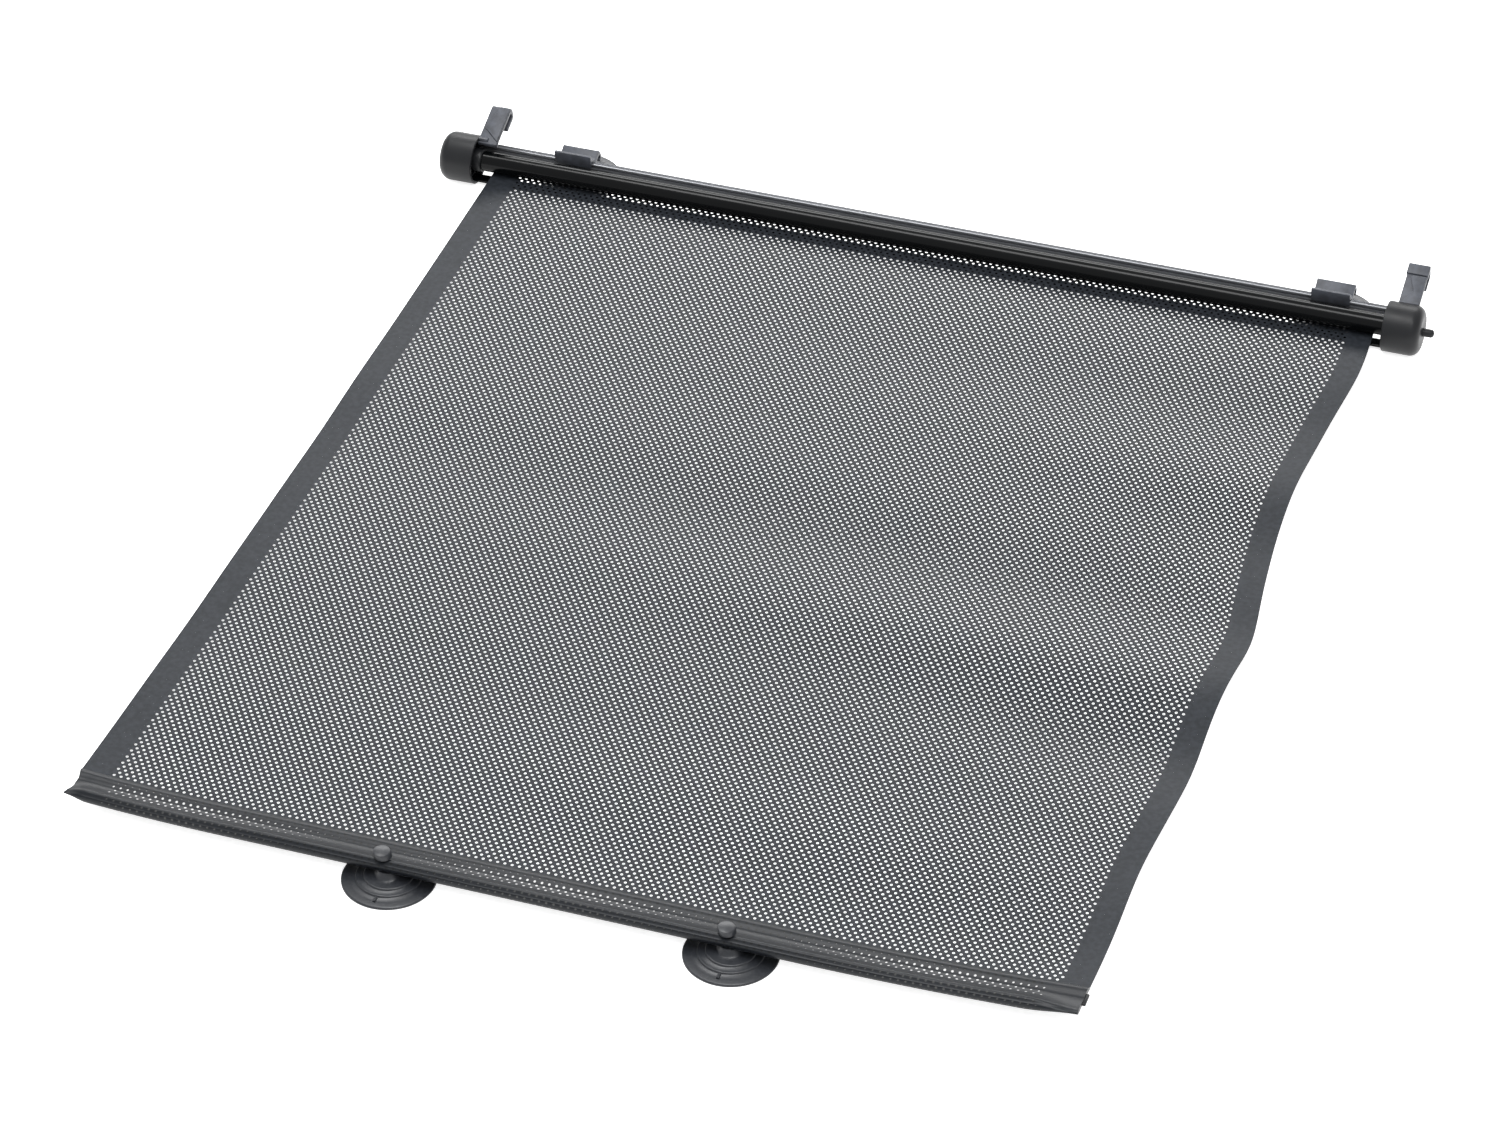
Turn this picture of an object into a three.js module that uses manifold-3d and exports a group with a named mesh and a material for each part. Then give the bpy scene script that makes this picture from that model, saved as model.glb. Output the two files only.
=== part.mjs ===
// Roll-up car window sunshade, lying pulled out on the floor.
// Millimetres, +Z up. X runs along the roller, -Y from the roller to the hem.
// Built about the roller axis, then moved so that the box's bottom centre is the origin.
import * as THREE from "three";
import { mergeVertices } from "three/addons/utils/BufferGeometryUtils.js";
import Module from "manifold-3d";

const wasm = await Module();
wasm.setup();

// Fits
const GAP = 0.3;
const SNUG = 0.2;

// Film and the length it is pulled out by
const FILM_WIDTH = 450;
const FILM_REACH = 511;
const FILM_THICK = 0.4;
const FILM_WAVE_LEFT = 0.4;
const FILM_WAVE_RIGHT = 2.6;
const FILM_SAG = 2.4;
const FILM_WRAP_DEG = 100;
const WRAP_STEPS = 5;
const FILM_MARGIN = 14;
const HOLE_COLUMNS = 12;
const HOLE_ROWS = 16;
const HOLE_SIZE = 6;

// Roller
const TUBE_R = 5;
const TUBE_BORE = 4.2;
const TUBE_PAST_LEFT = 5;
const TUBE_PAST_RIGHT = 2.5;
const COLLAR_R = 5.9;
const COLLAR_LENGTH = 4.2;
const PLUG_DEPTH = 12;

// End caps
const CAP_R = 12.25;
const CAP_LENGTH = 18;
const CAP_WALL = 1.6;
const CAP_END = 2.4;
const CAP_ROUND = 5;
const LEFT_MOUTH = 9.5;
const RIGHT_MOUTH = 5.5;
const BOSS_R = 3.2;

// Window hook arms on the caps
const ARM_WIDTH = 10;
const ARM_THICK = 2.2;
const ARM_ANGLE = 21;
const ARM_TIP_Y = 22;
const ARM_TIP_Z = 18.6;
const ARM_SLOT = 3.6;
const ARM_RETURN = 10;
const ARM_HEAD = 6.8;

// Rear rail, from the roller axis
const RAIL_Y = 9.6;
const RAIL_THICK = 3;
const RAIL_BOTTOM = -5;
const RAIL_SHOULDER = 0.5;
const RAIL_TOP = 2.6;
const RAIL_HEAD = 0.9;
const RAIL_NECK = 0.6;
const RIB = 0.35;

// Lower bar, from the roller axis
const BAR_FRONT = -4.4;
const BAR_BACK = 1.1;
const BAR_TOP = -9;
const BAR_THICK = 1.5;

// Sliding clips
const CLIP_WIDTH = 19;
const CLIP_LEFT_X = -186;
const CLIP_RIGHT_X = 201;
const CLIP_WALL = 0.9;
const CLIP_PLATE = 1.5;
const CLIP_SLOT = 3.6;
const CLIP_RETURN = 5;
const CLIP_ANGLE = 30;
const CLIP_TIP_Y = 19.5;
const CLIP_TIP_Z = 8.6;
const CLIP_LIP_TOP = 7.6;

// Suction cups, heights above the floor
const CUP_R = 20.5;
const CUP_HUB_R = 4.6;
const CUP_HUB_TOP = 6;
const CUP_NECK_R = 2.2;
const CUP_HEAD_R = 3.8;
const CUP_HEAD = 3;
const TOP_CUP_Y = 17.9;
const TOP_CUP_HEAD_R = 3.5;
const TOP_CUP_HEAD = 2.2;
const BOTTOM_CUP_X = 76;

// Hem
const HEM_DEPTH = 18;
const HEM_BOTTOM = 6.4;
const HEM_HEIGHT = 5;
const HEM_WALL = 0.6;
const HEM_FLANGE = 4;
const SLAT_WIDTH = 11;
const SLAT_THICK = 2.4;
const CUP_BEHIND_EDGE = 4.5;

// Return spring and lock
const SHAFT_R = 1.2;
const SPRING_R = 2.5;
const SPRING_WIRE = 0.7;
const SPRING_TURNS = 14;
const SPRING_START = -200;
const SPRING_END = -110;
const ANCHOR_LENGTH = 14;
const BUTTON_R = 2;
const BUTTON_OUT = 5.5;
const BUTTON_TRAVEL = 3;
const BUTTON_STEM_R = 1.1;
const LOCK_R = 2.7;
const LOCK_THICK = 2;

// Derived places
const FLOOR = -CAP_R;
const HALF = FILM_WIDTH / 2;
const LEFT_RIM = -HALF - LEFT_MOUTH;
const RIGHT_RIM = HALF + RIGHT_MOUTH;
const LEFT_END = LEFT_RIM - CAP_LENGTH;
const RIGHT_END = RIGHT_RIM + CAP_LENGTH;
const TUBE_LEFT = -HALF - TUBE_PAST_LEFT;
const TUBE_RIGHT = HALF + TUBE_PAST_RIGHT;
const HEM_FRONT = -FILM_REACH;
const HEM_BACK = HEM_FRONT + HEM_DEPTH;
const HEM_Z = FLOOR + HEM_BOTTOM;
const BOTTOM_CUP_Y = HEM_FRONT + CUP_BEHIND_EDGE;

const rad = (degrees) => (degrees * Math.PI) / 180;

// Geometry helpers

function clean(geometry) {
  const bare = geometry.clone();
  bare.deleteAttribute("normal");
  bare.deleteAttribute("uv");
  const merged = mergeVertices(bare, 1e-4);
  const index = merged.getIndex().array;
  const kept = [];
  for (let i = 0; i < index.length; i += 3) {
    const [a, b, c] = [index[i], index[i + 1], index[i + 2]];
    if (a !== b && b !== c && a !== c) {
      kept.push(a, b, c);
    }
  }
  merged.setIndex(kept);
  return outward(merged);
}

function outward(geometry) {
  const p = geometry.getAttribute("position");
  const index = Array.from(geometry.getIndex().array);
  const [a, b, c] = [new THREE.Vector3(), new THREE.Vector3(), new THREE.Vector3()];
  let volume = 0;
  for (let i = 0; i < index.length; i += 3) {
    a.fromBufferAttribute(p, index[i]);
    b.fromBufferAttribute(p, index[i + 1]);
    c.fromBufferAttribute(p, index[i + 2]);
    volume += a.dot(b.cross(c));
  }
  if (volume < 0) {
    for (let i = 0; i < index.length; i += 3) {
      [index[i], index[i + 1]] = [index[i + 1], index[i]];
    }
    geometry.setIndex(index);
  }
  return geometry;
}

function toManifold(geometry) {
  const merged = clean(geometry);
  return new wasm.Manifold(new wasm.Mesh({
    numProp: 3,
    vertProperties: new Float32Array(merged.getAttribute("position").array),
    triVerts: new Uint32Array(merged.getIndex().array),
  }));
}

function fromManifold(manifold) {
  const mesh = manifold.getMesh();
  const geometry = new THREE.BufferGeometry();
  geometry.setAttribute("position", new THREE.BufferAttribute(new Float32Array(mesh.vertProperties), 3));
  geometry.setIndex(Array.from(mesh.triVerts));
  return geometry;
}

function union(...geometries) {
  return fromManifold(wasm.Manifold.union(geometries.map(toManifold)));
}

function cut(geometry, ...tools) {
  let body = toManifold(geometry);
  for (const tool of tools) {
    body = body.subtract(toManifold(tool));
  }
  return fromManifold(body);
}

// Shape in (Y, Z), run along X from x0 to x1
function alongX(outline, x0, x1, holes = []) {
  const shape = new THREE.Shape(outline.map(([y, z]) => new THREE.Vector2(y, z)));
  for (const hole of holes) {
    shape.holes.push(new THREE.Path(hole.map(([y, z]) => new THREE.Vector2(y, z))));
  }
  const geometry = new THREE.ExtrudeGeometry(shape, { depth: x1 - x0, bevelEnabled: false, steps: 1 });
  const turn = new THREE.Matrix4().set(0, 0, 1, x0, 1, 0, 0, 0, 0, 1, 0, 0, 0, 0, 0, 1);
  return clean(geometry.applyMatrix4(turn));
}

// Profile of [radius, x], turned about the X axis
function turnedX(profile, segments = 40) {
  const points = profile.map(([r, x]) => new THREE.Vector2(r, x));
  const geometry = new THREE.LatheGeometry([...points, points[0]], segments);
  const turn = new THREE.Matrix4().set(0, 1, 0, 0, 0, 0, 1, 0, 1, 0, 0, 0, 0, 0, 0, 1);
  return clean(geometry.applyMatrix4(turn));
}

// Profile of [radius, z], turned about an upright axis at x, y
function turnedZ(profile, x, y, segments = 24) {
  const points = profile.map(([r, z]) => new THREE.Vector2(r, z));
  const geometry = new THREE.LatheGeometry([...points, points[0]], segments);
  geometry.rotateX(Math.PI / 2);
  return clean(geometry.translate(x, y, 0));
}

function rodX(radius, x0, x1, segments = 24) {
  return turnedX([[0, x0], [radius, x0], [radius, x1], [0, x1]], segments);
}

function rodZ(radius, z0, z1, x, y, segments = 24) {
  return turnedZ([[0, z0], [radius, z0], [radius, z1], [0, z1]], x, y, segments);
}

function block(x0, x1, y0, y1, z0, z1) {
  const geometry = new THREE.BoxGeometry(x1 - x0, y1 - y0, z1 - z0);
  return clean(geometry.translate((x0 + x1) / 2, (y0 + y1) / 2, (z0 + z1) / 2));
}

// A hook that folds under at its tip: a plate that rises backwards to the tip,
// a closed end, and a return leg. Points run round it from the plate's lower end.
function hook(tipY, tipZ, angle, plate, slot, leg, reach, length) {
  const along = [Math.cos(rad(angle)), Math.sin(rad(angle))];
  const down = [along[1], -along[0]];
  const at = (depth, back) => [
    tipY + down[0] * depth - along[0] * back,
    tipZ + down[1] * depth - along[1] * back,
  ];
  return {
    top: at(0, 0),
    outer: [at(plate, length), at(plate, plate), at(plate + slot, plate)],
    leg: [at(plate + slot, leg), at(reach, leg), at(reach, 0)],
    root: at(0, length),
    at,
  };
}

// End cap: a cup with its mouth at `rim`, closed and rounded at the outer end
function capShell(rim, side) {
  const end = rim + side * CAP_LENGTH;
  const profile = [[CAP_R - CAP_WALL, rim], [CAP_R, rim]];
  for (let i = 0; i <= 5; i += 1) {
    const a = rad(i * 18);
    profile.push([
      CAP_R - CAP_ROUND + CAP_ROUND * Math.cos(a),
      end - side * CAP_ROUND * (1 - Math.sin(a)),
    ]);
  }
  profile.push([0, end], [0, end - side * CAP_END]);
  profile.push([CAP_R - CAP_WALL - 2, end - side * CAP_END]);
  profile.push([CAP_R - CAP_WALL, end - side * (CAP_END + 2)]);
  return turnedX(profile, 36);
}

// The arm rises backwards from the cap's crown and folds under at its tip
function arm(x0, x1) {
  const length = 21;
  const reach = ARM_THICK * 2 + ARM_SLOT;
  const h = hook(ARM_TIP_Y, ARM_TIP_Z, ARM_ANGLE, ARM_THICK, ARM_SLOT, ARM_RETURN, reach, length);
  const outline = [h.root, ...h.outer, ...h.leg, h.top];
  const headBlock = [h.at(-0.5, 0), h.at(-0.5, ARM_HEAD), h.at(0.5, ARM_HEAD), h.at(0.5, 0)];
  return union(alongX(outline, x0, x1), alongX(headBlock, x0, x1));
}

// Pockets that the rail and the lower bar sit in, cut into a cap's wall
function railPocket(x0, x1) {
  return alongX(grown(railOutline(false), SNUG), x0, x1);
}

function grown(outline, by) {
  const ys = outline.map((p) => p[0]);
  const zs = outline.map((p) => p[1]);
  const [y0, y1] = [Math.min(...ys) - by, Math.max(...ys) + by];
  const [z0, z1] = [Math.min(...zs) - by, Math.max(...zs) + by];
  return [[y0, z0], [y1, z0], [y1, z1], [y0, z1]];
}

function railOutline(ribbed) {
  const y0 = RAIL_Y;
  const y1 = RAIL_Y + RAIL_THICK;
  const headBottom = RAIL_TOP - RAIL_HEAD;
  if (!ribbed) {
    return [[y0, RAIL_BOTTOM], [y1, RAIL_BOTTOM], [y1, RAIL_TOP], [y0, RAIL_TOP]];
  }
  const points = [[y0, RAIL_BOTTOM], [y1, RAIL_BOTTOM], [y1, RAIL_SHOULDER]];
  points.push([y1 - RAIL_NECK, RAIL_SHOULDER], [y1 - RAIL_NECK, headBottom], [y1, headBottom], [y1, RAIL_TOP]);
  for (const y of [y1 - 0.9, y0 + 1.2]) {
    points.push([y + RIB, RAIL_TOP], [y + RIB, RAIL_TOP - RIB], [y, RAIL_TOP - RIB], [y, RAIL_TOP]);
  }
  points.push([y0, RAIL_TOP], [y0, headBottom], [y0 + RAIL_NECK, headBottom], [y0 + RAIL_NECK, RAIL_SHOULDER]);
  points.push([y0, RAIL_SHOULDER]);
  for (const z of [-0.6, -2.4]) {
    points.push([y0, z], [y0 + RIB, z], [y0 + RIB, z - RIB], [y0, z - RIB]);
  }
  return points;
}

function barOutline() {
  const bottom = BAR_TOP - BAR_THICK;
  return [[BAR_FRONT, bottom], [BAR_BACK, bottom], [BAR_BACK, BAR_TOP], [BAR_FRONT, BAR_TOP]];
}

// Solid seats inside a cap for the rail's and the bar's ends, trimmed to the cap's outside
function seats(rim, side) {
  const depth = rim + side * (CAP_LENGTH - CAP_END);
  const [x0, x1] = [Math.min(rim, depth), Math.max(rim, depth)];
  const seatRail = alongX(grown(railOutline(false), SNUG + 0.8), x0, x1);
  const seatBar = alongX(grown(barOutline(), SNUG + 0.8), x0, x1);
  const outside = rodX(CAP_R - 0.2, x0, x1, 36);
  return fromManifold(toManifold(union(seatRail, seatBar)).intersect(toManifold(outside)));
}

function endCap(rim, side, armX0, armX1, rootX0, rootX1, boss) {
  const into = rim + side * 9;
  const [x0, x1] = [Math.min(rim, into) - 1, Math.max(rim, into) + 1];
  const root = alongX([[0.5, 10.4], [9.5, 8.2], [9.5, 13.7], [2.4, 11.9]], rootX0, rootX1);
  const body = union(capShell(rim, side), seats(rim, side), arm(armX0, armX1), root, boss);
  const pocketBar = alongX(grown(barOutline(), SNUG), x0, x1);
  return cut(body, railPocket(x0, x1), pocketBar);
}

// Suction cup with its rim on the floor; the neck ends under the head
function cup(x, y, neckTop, headR, head) {
  const profile = [
    [0, 2.2], [8, 1.9], [16, 0.9], [CUP_R - 1.2, 0], [CUP_R, 0], [CUP_R, 0.8],
    [CUP_R - 0.8, 1.2], [14.2, 1.5], [13.4, 2.1], [10.8, 2.3], [10, 2.9],
    [CUP_HUB_R + 1.4, 3.5], [CUP_HUB_R, CUP_HUB_TOP - 0.8], [CUP_HUB_R - 0.6, CUP_HUB_TOP],
    [CUP_NECK_R, CUP_HUB_TOP], [CUP_NECK_R, neckTop], [headR, neckTop],
    [headR, neckTop + head - 1], [headR - 1, neckTop + head], [0, neckTop + head],
  ];
  const tab = block(x - 17.4, x - 13, y - 1.3, y + 1.3, FLOOR + 1.2, FLOOR + 2);
  return union(turnedZ(profile.map(([r, z]) => [r, z + FLOOR]), x, y), tab);
}

// Wavy film: its height at a place along it (0 roller, 1 hem) and across it (0 left, 1 right)
function filmHeight(s, u) {
  const start = -TUBE_R - GAP - FILM_THICK / 2;
  const finish = HEM_Z + 1.6;
  const wave = FILM_WAVE_LEFT + (FILM_WAVE_RIGHT - FILM_WAVE_LEFT) * u * u;
  const ends = Math.sin(Math.PI * s);
  const ripple = Math.sin(2 * Math.PI * (3.6 * s + 0.25 * u)) + 0.5 * Math.sin(2 * Math.PI * (6.1 * s - 0.3 * u));
  return start + (finish - start) * s - FILM_SAG * ends + wave * ends * ripple * 0.7;
}

function filmRow(t) {
  const radius = TUBE_R + GAP + FILM_THICK / 2;
  if (t < 0) {
    const a = rad(-t * FILM_WRAP_DEG);
    return () => [radius * Math.sin(a), -radius * Math.cos(a), Math.sin(a), -Math.cos(a)];
  }
  const end = HEM_BACK + GAP;
  return (u) => [end * t, filmHeight(t, u), 0, -1];
}

function film() {
  const span = FILM_WIDTH - 2 * FILM_MARGIN;
  const pitch = (span - HOLE_SIZE) / (HOLE_COLUMNS - 1);
  const xs = [-HALF];
  for (let i = 0; i < HOLE_COLUMNS; i += 1) {
    const x = -HALF + FILM_MARGIN + i * pitch;
    xs.push(x, x + HOLE_SIZE);
  }
  xs.push(HALF);
  const length = -(HEM_BACK + GAP);
  const rows = [];
  for (let i = WRAP_STEPS; i > 0; i -= 1) {
    rows.push(-i / WRAP_STEPS);
  }
  rows.push(0);
  const step = length / (HOLE_ROWS + 1);
  for (let i = 1; i <= HOLE_ROWS; i += 1) {
    rows.push((i * step - HOLE_SIZE / 2) / length, (i * step + HOLE_SIZE / 2) / length);
  }
  rows.push(1);
  const first = rows.indexOf(0) + 1;
  const open = (i, j) => {
    const k = i - first;
    const row = k / 2;
    return k >= 0 && k % 2 === 0 && row < HOLE_ROWS && j % 2 === 1 && (j - 1) / 2 % 2 === row % 2
      && j < xs.length - 1;
  };
  const positions = [];
  const vertex = new Map();
  const point = (i, j, face) => {
    const key = `${i},${j},${face}`;
    if (!vertex.has(key)) {
      const u = (xs[j] + HALF) / FILM_WIDTH;
      const [y, z, ny, nz] = filmRow(rows[i])(u);
      const d = (face * FILM_THICK) / 2;
      vertex.set(key, positions.length / 3);
      positions.push(xs[j], y + ny * d, z + nz * d);
    }
    return vertex.get(key);
  };
  const index = [];
  const quad = (a, b, c, d) => index.push(a, b, c, a, c, d);
  const solid = (i, j) => i >= 0 && j >= 0 && i < rows.length - 1 && j < xs.length - 1 && !open(i, j);
  for (let i = 0; i < rows.length - 1; i += 1) {
    for (let j = 0; j < xs.length - 1; j += 1) {
      if (!solid(i, j)) {
        continue;
      }
      quad(point(i, j, 1), point(i, j + 1, 1), point(i + 1, j + 1, 1), point(i + 1, j, 1));
      quad(point(i, j, -1), point(i + 1, j, -1), point(i + 1, j + 1, -1), point(i, j + 1, -1));
      const sides = [
        [i - 1, j, i, j + 1, i, j],
        [i + 1, j, i + 1, j, i + 1, j + 1],
        [i, j - 1, i, j, i + 1, j],
        [i, j + 1, i + 1, j + 1, i, j + 1],
      ];
      for (const [ni, nj, ai, aj, bi, bj] of sides) {
        if (!solid(ni, nj)) {
          quad(point(ai, aj, 1), point(bi, bj, 1), point(bi, bj, -1), point(ai, aj, -1));
        }
      }
    }
  }
  const geometry = new THREE.BufferGeometry();
  geometry.setAttribute("position", new THREE.BufferAttribute(new Float32Array(positions), 3));
  geometry.setIndex(index);
  return outward(geometry);
}

// Hem sleeve: a flat loop round the slat, with a thin welded flange at the film's side
function hemSleeve() {
  const [z0, z1] = [HEM_Z, HEM_Z + HEM_HEIGHT];
  const neck = HEM_BACK - HEM_FLANGE;
  const outline = [
    [HEM_FRONT, z0 + 1.4], [HEM_FRONT + 1.2, z0], [neck - 3, z0], [neck, z0 + 1], [HEM_BACK, z0 + 1],
    [HEM_BACK, z0 + 2.2], [neck + 0.6, z0 + 2.4], [neck - 3, z1 - 0.4], [HEM_FRONT + 3, z1],
    [HEM_FRONT + 1, z1 - 0.3], [HEM_FRONT, z1 - 1.4],
  ];
  const w = HEM_WALL;
  const inside = [
    [HEM_FRONT + w, z0 + 1.6], [HEM_FRONT + 1.5, z0 + w], [neck - 3.2, z0 + w], [neck - 1.4, z0 + 1.4],
    [neck - 1.4, z0 + 2.2], [neck - 3.4, z1 - 0.4 - w], [HEM_FRONT + 3, z1 - w], [HEM_FRONT + w, z1 - 1.6],
  ];
  const sleeve = alongX(outline, -HALF, HALF, [inside]);
  return cut(sleeve, ...neckHoles());
}

function neckHoles() {
  return [-1, 1].map((side) =>
    rodZ(CUP_NECK_R + GAP, HEM_Z - 1, HEM_Z + HEM_HEIGHT + 1, side * BOTTOM_CUP_X, BOTTOM_CUP_Y));
}

function hemSlat() {
  const z0 = HEM_Z + HEM_WALL + 0.35;
  const y0 = HEM_FRONT + 1.6;
  const slat = block(-HALF + 1, HALF + 1.5, y0, y0 + SLAT_WIDTH - 2.4, z0, z0 + SLAT_THICK);
  return cut(slat, ...neckHoles());
}

// Clip: a channel on the rail's head, a front lip, a window hook and a tab for the cup
function clip(x) {
  const front = RAIL_Y - GAP - CLIP_WALL;
  const inFront = RAIL_Y - GAP;
  const inBack = RAIL_Y + RAIL_THICK + GAP;
  const back = inBack + CLIP_WALL + 0.1;
  const under = RAIL_SHOULDER + GAP;
  const tooth = RAIL_TOP - RAIL_HEAD - GAP;
  const grip = RAIL_NECK - GAP + 0.3;
  const roof = RAIL_TOP + GAP;
  const deck = roof + 1.2;
  const tab = FLOOR + CUP_HUB_TOP + 2.3;
  const reach = CLIP_PLATE * 2 + CLIP_SLOT;
  const run = (CLIP_TIP_Z - deck) / Math.sin(rad(CLIP_ANGLE));
  const h = hook(CLIP_TIP_Y, CLIP_TIP_Z, CLIP_ANGLE, CLIP_PLATE, CLIP_SLOT, CLIP_RETURN, reach, run);
  const lowAt = h.at(CLIP_PLATE, 0);
  const joint = [back, lowAt[1] - (lowAt[0] - back) * Math.tan(rad(CLIP_ANGLE))];
  const outline = [
    [front, under], [inFront + grip, under], [inFront + grip, tooth], [inFront, tooth],
    [inFront, roof], [inBack, roof], [inBack, tooth], [inBack - grip, tooth], [inBack - grip, under],
    [inBack, under], [inBack, tab], [TOP_CUP_Y + 4.4, tab], [TOP_CUP_Y + 4.4, tab + 1.5],
    [back, tab + 1.5], joint, h.outer[1], h.outer[2], ...h.leg, h.top, h.root,
    [inFront, deck], [inFront, CLIP_LIP_TOP], [front, CLIP_LIP_TOP],
  ];
  const hole = rodZ(CUP_NECK_R + GAP, tab - 1, tab + 2.5, x, TOP_CUP_Y);
  const width = CLIP_WIDTH / 2;
  return cut(alongX(outline, x - width, x + width), hole);
}

// Roller and what is inside it

function tube() {
  return turnedX([[TUBE_BORE, TUBE_LEFT], [TUBE_R, TUBE_LEFT], [TUBE_R, TUBE_RIGHT], [TUBE_BORE, TUBE_RIGHT]], 32);
}

function plug(end, side, bore) {
  const face = end + side * (GAP + COLLAR_LENGTH);
  const seat = end + side * GAP;
  const inner = end - side * PLUG_DEPTH;
  const r = TUBE_BORE - SNUG;
  return turnedX([
    [bore, face], [COLLAR_R - 0.5, face], [COLLAR_R, face - side * 0.5], [COLLAR_R, seat], [r, seat],
    [r, inner], [bore, inner],
  ], 32);
}

function springShaft() {
  const start = LEFT_END + CAP_END + GAP;
  const stop = SPRING_END + ANCHOR_LENGTH / 2;
  const flange = start + 1.5;
  return turnedX([[0, start], [2.6, start], [2.6, flange], [SHAFT_R, flange], [SHAFT_R, stop], [0, stop]], 16);
}

class Coil extends THREE.Curve {
  constructor(radius, x0, x1, turns) {
    super();
    Object.assign(this, { radius, x0, x1, turns });
  }

  getPoint(t, target = new THREE.Vector3()) {
    const a = 2 * Math.PI * this.turns * t;
    return target.set(
      this.x0 + (this.x1 - this.x0) * t,
      this.radius * Math.cos(a),
      this.radius * Math.sin(a),
    );
  }
}

function coil(radius, wire, x0, x1, turns, sides) {
  const steps = Math.round(turns * 10);
  const curve = new Coil(radius, x0, x1, turns);
  const tubeGeometry = new THREE.TubeGeometry(curve, steps, wire / 2, sides, false);
  return capped(tubeGeometry, steps, sides, curve);
}

// Closes both ends of a tube geometry with a fan
function capped(geometry, steps, sides, curve) {
  const p = Array.from(geometry.getAttribute("position").array);
  const index = Array.from(geometry.getIndex().array);
  const ring = sides + 1;
  for (const [row, t] of [[0, 0], [steps, 1]]) {
    const centre = p.length / 3;
    p.push(...curve.getPoint(t).toArray());
    for (let j = 0; j < sides; j += 1) {
      const a = row * ring + j;
      index.push(...(t === 0 ? [centre, a, a + 1] : [centre, a + 1, a]));
    }
  }
  const closed = new THREE.BufferGeometry();
  closed.setAttribute("position", new THREE.BufferAttribute(new Float32Array(p), 3));
  closed.setIndex(index);
  return clean(closed);
}

function springAnchor() {
  const r = TUBE_BORE - SNUG;
  const x0 = SPRING_END + 1;
  const x1 = x0 + ANCHOR_LENGTH;
  return turnedX([[SHAFT_R + GAP, x0], [r, x0], [r, x1], [SHAFT_R + GAP, x1]], 24);
}

// Release button: the pin outside the cap, its stem, and the shoulder that stops it
const LOCK_X = TUBE_RIGHT - 3;

function releaseButton() {
  const inner = LOCK_X - LOCK_THICK;
  const shoulder = RIGHT_END - CAP_END - GAP;
  const tip = RIGHT_END + BUTTON_OUT;
  return turnedX([
    [0, inner], [BUTTON_STEM_R, inner], [BUTTON_STEM_R, shoulder - 1.4], [BUTTON_R + 0.9, shoulder - 1.4],
    [BUTTON_R + 0.9, shoulder], [BUTTON_R, shoulder], [BUTTON_R, tip - 1], [BUTTON_R - 0.5, tip - 0.3],
    [BUTTON_R - 1.2, tip], [0, tip],
  ], 24);
}

function lockDisc() {
  const x1 = LOCK_X;
  return turnedX([
    [BUTTON_STEM_R + SNUG, x1 - LOCK_THICK], [LOCK_R, x1 - LOCK_THICK], [LOCK_R, x1],
    [BUTTON_STEM_R + SNUG, x1],
  ], 24);
}

function buttonSpring() {
  const shoulder = RIGHT_END - CAP_END - GAP - 1.4;
  const seat = RIGHT_RIM + 5.2;
  return coil(1.9, 0.5, seat + 0.55, shoulder - 0.55, 4, 5);
}

// Left cap: boss that holds the spring shaft. Right cap: web with a hole for the button's stem
const leftSocket = turnedX([
  [BOSS_R - 0.3, LEFT_END + 1], [BOSS_R + 1.2, LEFT_END + 1], [BOSS_R + 1.2, LEFT_END + 8],
  [BOSS_R - 0.3, LEFT_END + 8],
], 24);
const rightWeb = turnedX([
  [BUTTON_STEM_R + GAP, RIGHT_RIM + 3.6], [CAP_R - 0.8, RIGHT_RIM + 3.6],
  [CAP_R - 0.8, RIGHT_RIM + 5], [BUTTON_STEM_R + GAP, RIGHT_RIM + 5],
], 24);

const leftCap = endCap(LEFT_RIM, -1, LEFT_RIM - 1, LEFT_RIM + ARM_WIDTH - 1, LEFT_RIM - 7, LEFT_RIM + 9, leftSocket);
const rightArm = RIGHT_RIM + 4.6;
const rightCap = cut(
  endCap(RIGHT_RIM, 1, rightArm, rightArm + ARM_WIDTH, rightArm, rightArm + ARM_WIDTH, rightWeb),
  rodX(BUTTON_R + GAP, RIGHT_END - CAP_END - 1, RIGHT_END + 1),
);

const RAIL_END = 8;
const rail = alongX(railOutline(true), LEFT_RIM - RAIL_END, RIGHT_RIM + RAIL_END);
const bar = alongX(barOutline(), LEFT_RIM - RAIL_END, RIGHT_RIM + RAIL_END);

// Materials
const finish = (name, color, roughness, metalness = 0) =>
  Object.assign(new THREE.MeshStandardMaterial({ color, roughness, metalness }), { name });
const capPlastic = finish("cap_plastic", 0x2c2d2f, 0.45);
const glossBlack = finish("gloss_black", 0x17181a, 0.25);
const clipPlastic = finish("clip_plastic", 0x3a3c40, 0.5);
const filmBlack = finish("film_black", 0x33363b, 0.6);
const cupRubber = finish("cup_rubber", 0x3b3d41, 0.6);
const slatPlastic = finish("slat_plastic", 0x202124, 0.5);
const springSteel = finish("spring_steel", 0xb8babd, 0.3, 1);
const nylon = finish("white_nylon", 0xd8d8d4, 0.5);

const neckTopLow = CUP_HUB_TOP + 4.1;
const neckTopHem = HEM_BOTTOM + HEM_HEIGHT + GAP;

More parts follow.
